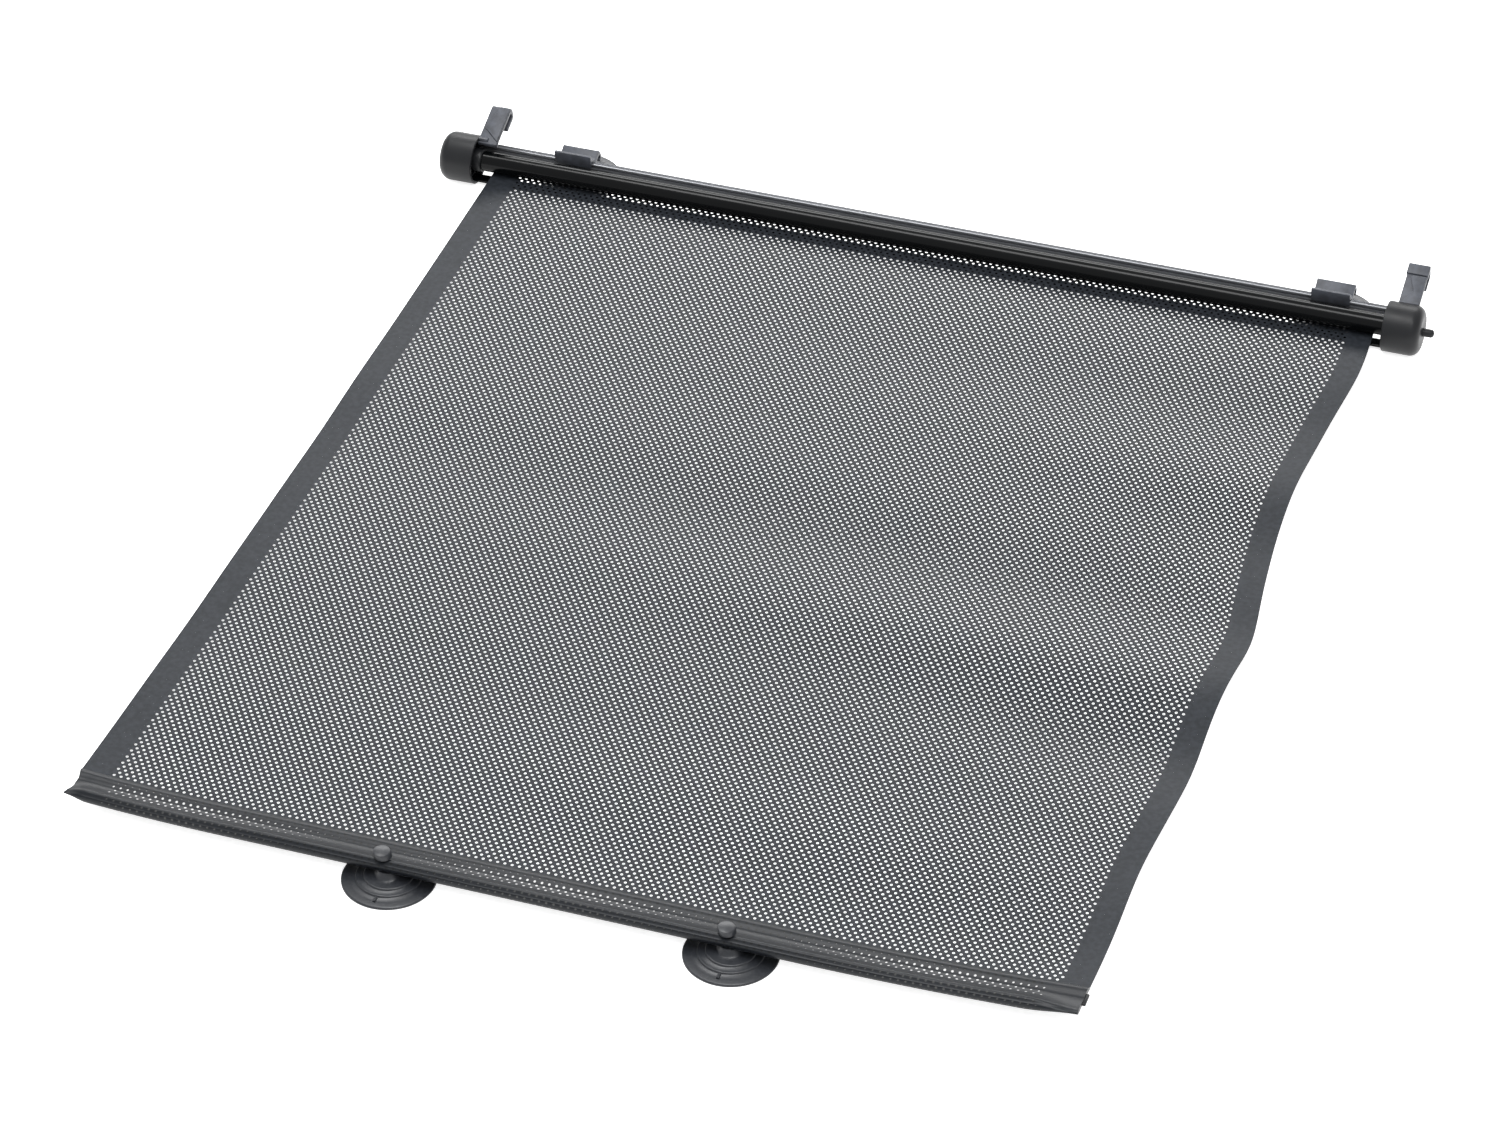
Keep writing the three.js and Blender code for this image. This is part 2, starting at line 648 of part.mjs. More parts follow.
const nodes = [
  ["left_end_cap", leftCap, capPlastic],
  ["right_end_cap", rightCap, capPlastic],
  ["rear_rail", rail, glossBlack],
  ["lower_bar", bar, glossBlack],
  ["roller_tube", tube(), glossBlack],
  ["left_roller_plug", plug(TUBE_LEFT, -1, SHAFT_R + GAP), capPlastic],
  ["right_roller_plug", plug(TUBE_RIGHT, 1, LOCK_R + GAP), capPlastic],
  ["spring_shaft", springShaft(), springSteel],
  ["torsion_spring", coil(SPRING_R, SPRING_WIRE, SPRING_START, SPRING_END, SPRING_TURNS, 5), springSteel],
  ["spring_anchor", springAnchor(), nylon],
  ["release_button", releaseButton(), capPlastic],
  ["lock_disc", lockDisc(), nylon],
  ["button_spring", buttonSpring(), springSteel],
  ["shade_film", film(), filmBlack],
  ["hem_sleeve", hemSleeve(), filmBlack],
  ["hem_slat", hemSlat(), slatPlastic],
  ["left_clip", clip(CLIP_LEFT_X), clipPlastic],
  ["right_clip", clip(CLIP_RIGHT_X), clipPlastic],
  ["top_left_cup", cup(CLIP_LEFT_X, TOP_CUP_Y, neckTopLow, TOP_CUP_HEAD_R, TOP_CUP_HEAD), cupRubber],
  ["top_right_cup", cup(CLIP_RIGHT_X, TOP_CUP_Y, neckTopLow, TOP_CUP_HEAD_R, TOP_CUP_HEAD), cupRubber],
  ["bottom_left_cup", cup(-BOTTOM_CUP_X, BOTTOM_CUP_Y, neckTopHem, CUP_HEAD_R, CUP_HEAD), cupRubber],
  ["bottom_right_cup", cup(BOTTOM_CUP_X, BOTTOM_CUP_Y, neckTopHem, CUP_HEAD_R, CUP_HEAD), cupRubber],
];

const group = new THREE.Group();
group.name = "car_sunshade";
const bounds = new THREE.Box3();
for (const [, geometry] of nodes) {
  geometry.computeBoundingBox();
  bounds.union(geometry.boundingBox);
}
const middle = bounds.getCenter(new THREE.Vector3());
for (const [name, geometry, material] of nodes) {
  geometry.translate(-middle.x, -middle.y, -bounds.min.z);
  geometry.computeVertexNormals();
  const mesh = new THREE.Mesh(geometry, material);
  mesh.name = name;
  group.add(mesh);
}

export default group;
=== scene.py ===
# Roll-up car window sunshade, pulled out and lying flat, as it looks.
# Sizes are millimetres about the roller's axis, unless a name says otherwise.
import math

import bmesh
import bpy
import numpy as np
from mathutils import Matrix, Vector


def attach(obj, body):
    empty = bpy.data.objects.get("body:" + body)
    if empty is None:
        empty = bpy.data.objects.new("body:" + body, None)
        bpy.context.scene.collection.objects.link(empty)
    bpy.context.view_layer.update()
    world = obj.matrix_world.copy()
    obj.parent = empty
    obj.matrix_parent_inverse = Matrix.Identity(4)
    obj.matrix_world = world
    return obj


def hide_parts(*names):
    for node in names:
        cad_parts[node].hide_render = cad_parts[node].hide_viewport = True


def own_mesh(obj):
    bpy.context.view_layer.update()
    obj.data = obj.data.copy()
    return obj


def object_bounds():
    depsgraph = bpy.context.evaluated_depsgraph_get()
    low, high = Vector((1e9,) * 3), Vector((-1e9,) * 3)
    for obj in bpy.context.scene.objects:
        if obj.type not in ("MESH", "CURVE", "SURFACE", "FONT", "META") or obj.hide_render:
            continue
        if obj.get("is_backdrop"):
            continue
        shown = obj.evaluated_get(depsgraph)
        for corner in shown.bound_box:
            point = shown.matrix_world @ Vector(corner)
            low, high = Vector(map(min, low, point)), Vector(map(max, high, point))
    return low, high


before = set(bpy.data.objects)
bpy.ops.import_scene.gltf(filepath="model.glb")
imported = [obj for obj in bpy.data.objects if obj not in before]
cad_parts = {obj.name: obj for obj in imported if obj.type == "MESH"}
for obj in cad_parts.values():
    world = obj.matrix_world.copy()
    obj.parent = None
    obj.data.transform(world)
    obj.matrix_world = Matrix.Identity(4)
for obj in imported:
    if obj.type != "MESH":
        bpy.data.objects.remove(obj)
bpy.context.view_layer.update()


# End caps. Two nylon cups, injection moulded with a satin skin, that carry the roller, the rail
# and the lower bar. The left one shows its open mouth, and the right one the button's hole.
AXIS = Vector((-0.75, 244.3, 12.25))
FLOOR = -AXIS.z
HALF = 225.0
CAP_R, CAP_WALL, CAP_LENGTH, CAP_END, CAP_ROUND = 12.25, 1.6, 18.0, 2.4, 5.0
RIM = {"left": -233.0, "right": 230.5}
OUT = {"left": -1, "right": 1}
BUTTON_HOLE_R = 2.3
CAP_EASE = 0.3
SEAT_R, SEAT_FROM_RIM = 11.6, 3.0
RAIL_SEAT = {"front": 8.6, "low": -6.0, "high": 3.6, "arc": (18, -31)}
BAR_SEAT = {"front": -5.4, "back": 2.2, "top": -8.0, "arc": (-28, 11)}


def linear(code):
    """An sRGB hex colour as linear red, green, blue and alpha."""
    parts = [int(code[i:i + 2], 16) / 255 for i in (1, 3, 5)]
    return [p / 12.92 if p <= 0.04045 else ((p + 0.055) / 1.055) ** 2.4 for p in parts] + [1.0]


def add(material, kind, inputs, **settings):
    """Adds a node with its settings, and sets or links its inputs; 'Shader' is the one there."""
    tree = material.node_tree
    node = tree.nodes["Principled BSDF"] if kind == "Shader" else tree.nodes.new(kind)
    for name, value in settings.items():
        setattr(node, name, value)
    for name, value in inputs.items():
        if isinstance(value, bpy.types.NodeSocket):
            tree.links.new(value, node.inputs[name])
        else:
            node.inputs[name].default_value = value
    return node


def finish(name):
    """A new material, and the place on the piece, in metres, that its patterns read."""
    material = bpy.data.materials.new(name)
    material.use_nodes = True
    return material, add(material, "ShaderNodeTexCoord", {}).outputs["Object"]


def turn(bm, section, axis, centre, steps=96):
    """Spins a half section of (radius, height) points about an axis through centre."""
    axis, centre = Vector(axis), Vector(centre)
    out = Vector((0, 0, 1)) if axis.x else Vector((1, 0, 0))
    corners = [bm.verts.new(centre + out * r + axis * h) for r, h in section]
    pairs = list(zip(corners, corners[1:]))
    if section[0][0] > 0:
        pairs.append((corners[-1], corners[0]))
    edges = [bm.edges.new(pair) for pair in pairs]
    bmesh.ops.spin(bm, geom=corners + edges, cent=centre, axis=axis, angle=2 * math.pi, steps=steps,
                   use_merge=True)


def sweep(bm, corners, way):
    """Makes a prism from the corners of one end and the way to the other."""
    face = bm.faces.new([bm.verts.new(corner) for corner in corners])
    made = bmesh.ops.extrude_face_region(bm, geom=[face])["geom"]
    bmesh.ops.translate(bm, verts=[g for g in made if isinstance(g, bmesh.types.BMVert)], vec=way)


def run(bm, outline, x0, x1):
    """Extrudes a closed (Y, Z) outline along the roller."""
    sweep(bm, [(x0, y, z) for y, z in outline], (x1 - x0, 0, 0))


def arc(radius, start, stop, count):
    """Points of an arc, from degrees to degrees, about the roller's axis or a corner's centre."""
    angles = np.radians(np.linspace(start, stop, count))
    return [(radius * math.cos(a), radius * math.sin(a)) for a in angles]


def soften(bm, width, segments=3, angle=30.0, where=lambda middle: True):
    """Rounds the edges that are sharper than an angle, where a test of their middle says so."""
    bmesh.ops.remove_doubles(bm, verts=bm.verts, dist=0.002)
    bmesh.ops.recalc_face_normals(bm, faces=bm.faces)
    edges = [e for e in bm.edges if len(e.link_faces) == 2
             and e.calc_face_angle(0) > math.radians(angle)
             and where((e.verts[0].co + e.verts[1].co) / 2)]
    bmesh.ops.bevel(bm, geom=edges, offset=width, offset_type="OFFSET", segments=segments,
                    profile=0.5, affect="EDGES", clamp_overlap=True, material=-1)


def make(name, bm, material, sharp=35.0):
    """Closes a mesh, moves it to the row frame in metres, and makes it an object."""
    bmesh.ops.remove_doubles(bm, verts=bm.verts, dist=0.002)
    bmesh.ops.dissolve_degenerate(bm, edges=bm.edges, dist=0.001)
    bmesh.ops.recalc_face_normals(bm, faces=bm.faces)
    bmesh.ops.transform(bm, matrix=Matrix.Scale(0.001, 4) @ Matrix.Translation(AXIS), verts=bm.verts)
    mesh = bpy.data.meshes.new(name)
    bm.to_mesh(mesh)
    bm.free()
    mesh.shade_smooth()
    mesh.set_sharp_from_angle(angle=math.radians(sharp))
    mesh.materials.append(material)
    piece = bpy.data.objects.new(name, mesh)
    bpy.context.scene.collection.objects.link(piece)
    return piece


# Moulded nylon: a spark-eroded mould leaves a fine grain that spreads its highlights.
nylon, at = finish("moulded_nylon")
grain = add(nylon, "ShaderNodeTexNoise", {"Vector": at, "Scale": 2600.0, "Detail": 3.0})
patches = add(nylon, "ShaderNodeTexNoise", {"Vector": at, "Scale": 90.0, "Detail": 2.0})
rough = add(nylon, "ShaderNodeMapRange", {"Value": patches.outputs[0], "From Min": 0.3, "From Max": 0.7,
                                          "To Min": 0.36, "To Max": 0.46})
bump = add(nylon, "ShaderNodeBump", {"Height": grain.outputs[0], "Strength": 0.35, "Distance": 0.00004})
add(nylon, "Shader", {"Base Color": linear("#17181a"), "Roughness": rough.outputs[0],
                      "Specular IOR Level": 0.2, "Normal": bump.outputs[0]})

for side in ("left", "right"):
    bm = bmesh.new()
    hole = BUTTON_HOLE_R if side == "right" else 0
    inner_r, inner_end = CAP_R - CAP_WALL, CAP_LENGTH - CAP_END
    corner, inner_corner = CAP_R - CAP_ROUND, CAP_ROUND - CAP_WALL
    section = [(hole, CAP_LENGTH)]
    section += [(corner + r, CAP_LENGTH - CAP_ROUND + h) for r, h in arc(CAP_ROUND, 90, 0, 13)]
    section += [(CAP_R, CAP_EASE), (CAP_R - CAP_EASE, 0), (inner_r + CAP_EASE, 0), (inner_r, CAP_EASE)]
    section += [(corner + r, inner_end - inner_corner + h) for r, h in arc(inner_corner, 0, 90, 7)]
    section.append((hole, inner_end))
    turn(bm, section, (OUT[side], 0, 0), (RIM[side], 0, 0))

    # Two blocks behind the mouth hold the ends of the rail and of the bar.
    rail_seat = [(RAIL_SEAT["front"], RAIL_SEAT["low"]), (RAIL_SEAT["front"], RAIL_SEAT["high"])]
    rail_seat += arc(SEAT_R, *RAIL_SEAT["arc"], 8)
    bar_seat = [(-z, y) for y, z in arc(-SEAT_R, *BAR_SEAT["arc"], 8)]
    bar_seat += [(BAR_SEAT["back"], BAR_SEAT["top"]), (BAR_SEAT["front"], BAR_SEAT["top"])]
    for outline in (rail_seat, bar_seat):
        run(bm, outline, RIM[side] + OUT[side] * SEAT_FROM_RIM, RIM[side] + OUT[side] * inner_end)
    cap = make(side + "_cap", bm, nylon, 40)
    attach(cap, "headrail")
    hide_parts(side + "_end_cap")


# Window arms. Each cap carries a strip of the same moulding that rises backwards and folds under
# at its tip, so that its slot hooks over the top edge of the window glass.
ARM = {"width": 10.0, "thick": 2.2, "slot": 3.6, "leg": 10.0}
ARM_TIP = {"left": (23.5, 18.8), "right": (28.3, 19.0)}
ARM_ANGLE = {"left": 20.5, "right": 21.5}
ARM_LENGTH = {"left": 24.5, "right": 26.0}
ARM_X = {"left": RIM["left"] - 0.6, "right": RIM["right"] + 4.0}
FOLD_OUTER, FOLD_INNER, ARM_EASE = 2.6, 1.4, 0.35
PANEL_RISE, PANEL_SUNK, PANEL_EASE = 0.85, 0.3, 0.22
PANEL_PLAN = {"left": [(9.75, 1.6), (5.0, 1.6), (1.3, 15.6), (9.75, 22.6)],
              "right": [(9.75, 7.6), (3.4, 7.6), (2.4, 9.0), (5.6, 16.6), (1.0, 24.0), (9.75, 24.0)]}
HEAD = {"proud": 0.9, "sunk": 2.0, "from_tip": 0.9, "length": 6.8, "wider": 0.3}
FLANGE = {"arc": (84, 6), "into_cap": 0.5, "out": 4.5}


def hook(tip, angle, plate, slot, leg, length):
    """Outline of a plate that folds under at its tip, from its lower end round to its top."""
    a = math.radians(angle)
    along, down = Vector((math.cos(a), math.sin(a))), Vector((math.sin(a), -math.cos(a)))
    stops = [(0, length), (plate, length), (plate, plate), (plate + slot, plate), (plate + slot, leg),
             (2 * plate + slot, leg), (2 * plate + slot, 0), (0, 0)]
    return [tuple(Vector(tip) + down * depth - along * back) for depth, back in stops]


def near(points, reach=0.2):
    """A test of whether an edge's middle is within reach of one of some (Y, Z) points."""
    return lambda middle: any(math.hypot(middle.y - y, middle.z - z) < reach for y, z in points)


def two_tone(material, value, stops):
    """A colour between two sRGB codes, each with the value that it starts at."""
    ramp = add(material, "ShaderNodeValToRGB", {"Fac": value})
    for element, (position, code) in zip(ramp.color_ramp.elements, stops):
        element.position, element.color = position, linear(code)
    return ramp.outputs["Color"]


# The same nylon, painted lighter than the caps as if lit, on the thin strips that face up into
# the light; its tone also varies at random in clouds.
painted_lit_nylon, at = finish("moulded_nylon_painted_lit")
grain = add(painted_lit_nylon, "ShaderNodeTexNoise", {"Vector": at, "Scale": 3200.0, "Detail": 3.0})
clouds = add(painted_lit_nylon, "ShaderNodeTexNoise", {"Vector": at, "Scale": 260.0, "Detail": 3.0})
shade = two_tone(painted_lit_nylon, clouds.outputs[0], ((0.35, "#3a3c41"), (0.65, "#464950")))
bump = add(painted_lit_nylon, "ShaderNodeBump", {"Height": grain.outputs[0], "Strength": 0.4, "Distance": 0.00004})
add(painted_lit_nylon, "Shader", {"Base Color": shade, "Roughness": 0.42,
                     "Specular IOR Level": 0.25, "Normal": bump.outputs[0]})

for side, x0 in ARM_X.items():
    a = math.radians(ARM_ANGLE[side])
    along, up = Vector((0, math.cos(a), math.sin(a))), Vector((0, -math.sin(a), math.cos(a)))
    tip = Vector((0, *ARM_TIP[side]))
    bm = bmesh.new()
    outline = hook(ARM_TIP[side], ARM_ANGLE[side], ARM["thick"], ARM["slot"], ARM["leg"], ARM_LENGTH[side])
    run(bm, outline, x0, x0 + ARM["width"])
    soften(bm, FOLD_OUTER, 6, where=near(outline[6:8]))
    soften(bm, FOLD_INNER, 5, where=near(outline[2:4]))
    soften(bm, ARM_EASE, 3, 50)
    arm = make(side + "_arm", bm, painted_lit_nylon, 40)
    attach(arm, "headrail")

    # A low panel stands on the strip; its edge is the crease that runs down and then turns.
    bm = bmesh.new()
    corners = [tip - along * back + Vector((x0 + x, 0, 0)) - up * PANEL_SUNK for x, back in PANEL_PLAN[side]]
    sweep(bm, corners, up * (PANEL_RISE + PANEL_SUNK))
    soften(bm, PANEL_EASE, 3)
    panel = make(side + "_arm_panel", bm, painted_lit_nylon, 40)
    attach(panel, "headrail")

# The right arm's tip is a slightly wider block; the left arm grows out of a flange on the rim.
bm = bmesh.new()
corners = [(HEAD["proud"], HEAD["from_tip"]), (HEAD["proud"], HEAD["length"]),
           (-HEAD["sunk"], HEAD["length"]), (-HEAD["sunk"], HEAD["from_tip"])]
run(bm, [tuple(tip.yz + up.yz * rise - along.yz * back) for rise, back in corners],
    x0 - HEAD["wider"], x0 + ARM["width"] + HEAD["wider"])
soften(bm, 0.3, 3)
head = make("right_arm_head", bm, painted_lit_nylon, 40)
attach(head, "headrail")

bm = bmesh.new()
start, stop = FLANGE["arc"]
run(bm, arc(CAP_R - 0.05, start, stop, 20) + arc(CAP_R - CAP_WALL, stop, start, 20),
    RIM["left"] - FLANGE["into_cap"], RIM["left"] + FLANGE["out"])
soften(bm, 0.3, 2, 50)
flange = make("left_arm_flange", bm, painted_lit_nylon, 40)
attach(flange, "headrail")


# Rear rail and lower bar. Two black extrusions that sit in both caps and hold them apart. The
# rail has a head that the clips run on, with fine ribs along it.
RAIL = {"front": 9.6, "back": 12.6, "low": -5.0, "shoulder": 0.5, "head": 1.7, "top": 2.6, "neck": 0.6,
        "rib": 0.3}
RIBS_ON_FACE = (-0.6, -2.4)
BAR_OUTLINE = [(-4.4, -10.5), (1.1, -10.5), (1.1, -9), (-4.4, -9)]
SEATED = 8.0

# Stoved gloss enamel on steel: nearly black, with a clear hard surface.
enamel, at = finish("gloss_enamel")
wave = add(enamel, "ShaderNodeTexNoise", {"Vector": at, "Scale": 60.0, "Detail": 2.0})
bump = add(enamel, "ShaderNodeBump", {"Height": wave.outputs[0], "Strength": 0.08, "Distance": 0.0002})
add(enamel, "Shader", {"Base Color": linear("#060708"), "Roughness": 0.16, "Specular IOR Level": 0.12,
                       "Normal": bump.outputs[0]})

# The rail's enamel is painted mid grey and half metallic, a painted reflection of the white floor
# along its top; fine lines drawn along it bump it.
painted_reflection_enamel, at = finish("rail_enamel_painted_reflection")
drawn = add(painted_reflection_enamel, "ShaderNodeMapping", {"Vector": at, "Scale": (4.0, 900.0, 900.0)})
lines = add(painted_reflection_enamel, "ShaderNodeTexNoise", {"Vector": drawn.outputs[0], "Scale": 1.0, "Detail": 2.0})
bump = add(painted_reflection_enamel, "ShaderNodeBump", {"Height": lines.outputs[0], "Strength": 0.2, "Distance": 0.00005})
add(painted_reflection_enamel, "Shader", {"Base Color": linear("#6c6e72"), "Metallic": 0.5, "Roughness": 0.3,
                      "Normal": bump.outputs[0]})

y0, y1, rib, neck = RAIL["front"], RAIL["back"], RAIL["rib"], RAIL["neck"]
low, shoulder, head, top = RAIL["low"], RAIL["shoulder"], RAIL["head"], RAIL["top"]
outline = [(y0, low), (y1, low), (y1, shoulder), (y1 - neck, shoulder), (y1 - neck, head), (y1, head),
           (y1, top)]
for y in (y1 - 2 * rib, y1 - 4 * rib, y1 - 6 * rib):
    outline += [(y + rib, top), (y + rib, top - rib), (y, top - rib), (y, top)]
outline += [(y0, top), (y0, head), (y0 + neck, head), (y0 + neck, shoulder), (y0, shoulder)]
for z in RIBS_ON_FACE:
    outline += [(y0, z), (y0 + rib, z), (y0 + rib, z - rib), (y0, z - rib)]
bm = bmesh.new()
run(bm, outline, RIM["left"] - SEATED, RIM["right"] + SEATED)
soften(bm, 0.1, 2, 50)
rail = make("rail", bm, painted_reflection_enamel)
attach(rail, "headrail")
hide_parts("rear_rail")

bm = bmesh.new()
run(bm, BAR_OUTLINE, RIM["left"] - SEATED, RIM["right"] + SEATED)
soften(bm, 0.4, 4, 50)
bar = make("bar", bm, enamel)
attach(bar, "headrail")
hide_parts("lower_bar")


# Roller. A thin steel tube in the same enamel, with a nylon collar pressed into each end that
# turns in the cap. The film is wound on it.
TUBE_R, TUBE_BORE = 5.0, 4.2
TUBE = {"left": -230.0, "right": 230.0}
TUBE_LENGTH = TUBE["right"] - TUBE["left"]
TUBE_EASE = 0.2
COLLAR_R, PLUG_R, PLUG_DEPTH = 5.9, 4.1, 12.0
COLLAR = {"left": {"length": 13.5, "bore": 1.5}, "right": {"length": 2.0, "bore": 3.0}}

bm = bmesh.new()
turn(bm, [(TUBE_BORE, TUBE_EASE), (TUBE_BORE + TUBE_EASE, 0), (TUBE_R - TUBE_EASE, 0), (TUBE_R, TUBE_EASE),
          (TUBE_R, TUBE_LENGTH - TUBE_EASE), (TUBE_R - TUBE_EASE, TUBE_LENGTH),
          (TUBE_BORE + TUBE_EASE, TUBE_LENGTH), (TUBE_BORE, TUBE_LENGTH - TUBE_EASE)],
     (1, 0, 0), (TUBE["left"], 0, 0), 72)
tube = make("tube", bm, enamel, 40)
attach(tube, "roller")
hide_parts("roller_tube")

for side, sizes in COLLAR.items():
    bm = bmesh.new()
    length, bore = sizes["length"], sizes["bore"]
    turn(bm, [(bore, length), (COLLAR_R - 0.5, length), (COLLAR_R - 0.15, length - 0.15),
              (COLLAR_R, length - 0.5), (COLLAR_R, 1.5), (COLLAR_R - 0.15, 0.7), (COLLAR_R - 0.5, 0.35),
              (PLUG_R, 0.35), (PLUG_R, -PLUG_DEPTH), (bore, -PLUG_DEPTH)],
         (OUT[side], 0, 0), (TUBE[side], 0, 0), 72)
    collar = make(side + "_collar", bm, nylon, 40)
    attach(collar, "roller")
    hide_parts(side + "_roller_plug")


# Release button. A nylon pin with a domed tip that stands out of the right cap; pressed in, it
# frees the roller.
BUTTON_R, BUTTON_OUT = 2.0, 5.5
SHOULDER_R, SHOULDER_THICK = 2.9, 1.4
STEM_R, STEM_END = 1.1, -26.0
RUNNING_GAP = 0.3

bm = bmesh.new()
shoulder = -CAP_END - RUNNING_GAP
turn(bm, [(0, BUTTON_OUT), (0.7, BUTTON_OUT - 0.06), (1.3, BUTTON_OUT - 0.3), (1.75, BUTTON_OUT - 0.75),
          (BUTTON_R, BUTTON_OUT - 1.4), (BUTTON_R, shoulder), (SHOULDER_R, shoulder),
          (SHOULDER_R, shoulder - SHOULDER_THICK), (STEM_R, shoulder - SHOULDER_THICK), (STEM_R, STEM_END),
          (0, STEM_END)],
     (1, 0, 0), (RIM["right"] + CAP_LENGTH, 0, 0), 48)
button = make("button", bm, nylon, 40)
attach(button, "release_button")
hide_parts("release_button")


# Sliding clips. Each is one extruded and cut profile: a channel that grips the rail's head, a
# front lip, a window hook like the arms', and behind the rail a tab for a suction cup.
CLIP_X = {"left": -186.0, "right": 201.0}
CLIP = {"width": 19.0, "wall": 0.9, "plate": 1.5, "slot": 3.6, "leg": 3.2, "angle": 33.0}
CLIP_TIP = {"left": (21.0, 4.0), "right": (21.2, 5.6)}
GRIP_LOW, GRIP_HIGH, DECK = 0.8, 1.4, 4.1
LIP = [(10.2, DECK), (9.6, 7.6), (8.1, 7.6)]
TOP_CUP_Y = 17.9
TAB = {"low": FLOOR + 6.3, "thick": 1.3, "past_cup": 4.4}

for side, x in CLIP_X.items():
    front, back, top = RAIL["front"] - RUNNING_GAP, RAIL["back"] + RUNNING_GAP, RAIL["top"] + RUNNING_GAP
    grip = [(front - CLIP["wall"], GRIP_LOW), (RAIL["front"], GRIP_LOW), (RAIL["front"], GRIP_HIGH),
            (front, GRIP_HIGH), (front, top), (back, top), (back, GRIP_HIGH), (RAIL["back"], GRIP_HIGH),
            (RAIL["back"], GRIP_LOW), (back, GRIP_LOW)]
    outer = back + CLIP["wall"]
    tab_end, tab_top = TOP_CUP_Y + TAB["past_cup"], TAB["low"] + TAB["thick"]
    tab = [(back, TAB["low"]), (tab_end, TAB["low"]), (tab_end, tab_top), (outer, tab_top)]
    slope = math.radians(CLIP["angle"])
    tip_y, tip_z = CLIP_TIP[side]
    length = (tip_y - outer) / math.cos(slope)
    folded = hook((tip_y, tip_z), CLIP["angle"], CLIP["plate"], CLIP["slot"], CLIP["leg"], length)
    under = (tip_y + CLIP["plate"] * math.sin(slope), tip_z - CLIP["plate"] * math.cos(slope))
    joint = (outer, under[1] - (under[0] - outer) * math.tan(slope))
    bm = bmesh.new()
    run(bm, [*grip, *tab, joint, *folded[2:], folded[0], (outer, DECK), *LIP],
        x - CLIP["width"] / 2, x + CLIP["width"] / 2)
    soften(bm, 1.2, 5, where=near(folded[6:8]))
    soften(bm, 1.0, 5, where=near(folded[2:4]))
    soften(bm, 0.2, 2, 50)
    clip = make(side + "_hook_clip", bm, painted_lit_nylon, 40)
    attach(clip, side + "_clip")
    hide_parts(side + "_clip")


# Suction cups. Soft moulded rubber: a shallow dome with a stepped back and a flat brim, a
# pulling tab, and a mushroom head whose neck is pushed through the tab or the hem.
BOTTOM_CUP_Y = -506.5
PULL_SIZE, PULL_OUT, PULL_HEIGHT = (1.2, 3.0, 0.8), 15.9, 1.6
# The hem pulls the heads of the lower cups to the left.
STEM_LEAN = {"lower_left_cup": -2.8, "lower_right_cup": -2.0}
STEM_FOOT, STEM_RISE = 3.3, 11.4
CUP_SECTION = [(0, 2.2), (8, 1.9), (16, 0.9), (19.3, 0.02), (20.3, 0), (20.5, 0.25), (20.45, 0.75),
               (20.1, 1.1), (19.6, 1.2), (17, 1.3), (14.5, 1.4), (14.35, 1.5), (14.2, 2.1),
               (14.0, 2.25), (13.6, 2.25), (11, 2.3), (10.85, 2.4), (10.7, 3.0), (10.5, 3.15), (10.1, 3.15),
               (8, 3.2), (6.4, 3.3), (5.9, 3.5), (5.4, 4.2), (4.6, 5.2), (4.4, 5.7), (4.0, 6), (2.4, 6),
               (2.2, 6.3)]
# Name, body, place across and back, height and radius of the head, its thickness, and the node.
CUPS = [("upper_left_cup", "left_clip", CLIP_X["left"], TOP_CUP_Y, 7.9, 3.2, 2.2, "top_left_cup"),
        ("upper_right_cup", "right_clip", CLIP_X["right"], TOP_CUP_Y, 7.9, 3.2, 2.2, "top_right_cup"),
        ("lower_left_cup", "pull_bar", -77.5, BOTTOM_CUP_Y, 11.7, 3.8, 3.0, "bottom_left_cup"),
        ("lower_right_cup", "pull_bar", 75.0, BOTTOM_CUP_Y, 11.7, 3.8, 3.0, "bottom_right_cup")]

# Black rubber: smooth from a polished mould, soft in its highlights, and slightly dusty.
rubber, at = finish("cup_rubber")
dust = add(rubber, "ShaderNodeTexNoise", {"Vector": at, "Scale": 700.0, "Detail": 4.0})
shade = two_tone(rubber, dust.outputs[0], ((0.4, "#212327"), (0.7, "#2a2c30")))
bump = add(rubber, "ShaderNodeBump", {"Height": dust.outputs[0], "Strength": 0.2, "Distance": 0.00004})
add(rubber, "Shader", {"Base Color": shade, "Roughness": 0.34,
                       "Specular IOR Level": 0.35, "Normal": bump.outputs[0]})

for name, body, x, y, neck, head_r, head, node in CUPS:
    bm = bmesh.new()
    turn(bm, CUP_SECTION + [(2.2, neck - 0.2), (2.4, neck), (head_r - 0.3, neck), (head_r, neck + 0.3),
                            (head_r, neck + head - 0.5), (head_r - 0.15, neck + head - 0.15),
                            (head_r - 0.5, neck + head), (0, neck + head)],
         (0, 0, 1), (x, y, FLOOR), 72)
    pull = bmesh.ops.create_cube(bm, size=1)["verts"]
    bmesh.ops.scale(bm, verts=pull, vec=PULL_SIZE)
    bmesh.ops.translate(bm, verts=pull, vec=(x, y - PULL_OUT, FLOOR + PULL_HEIGHT))
    for vert in bm.verts:
        vert.co.x += STEM_LEAN.get(name, 0) * max(0, vert.co.z - FLOOR - STEM_FOOT) / STEM_RISE
    cup = make(name, bm, rubber, 40)
    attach(cup, body)
    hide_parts(node)


# Film. Soft vinyl, punched with a brick pattern of small round holes but for a plain margin at
# each side. It comes off the roller from below, hangs a little and ripples towards its right edge.
FILM_END = -494.2
ROLL_R = 5.5
WRAP = math.radians(100) * ROLL_R
MARGIN = 12.4
PITCH = 2 * HALF / 137.8
HOLE_R = 0.68
COLUMNS = 2 * int((HALF - MARGIN) / PITCH)
ROWS = 220
ROW = -FILM_END / ROWS
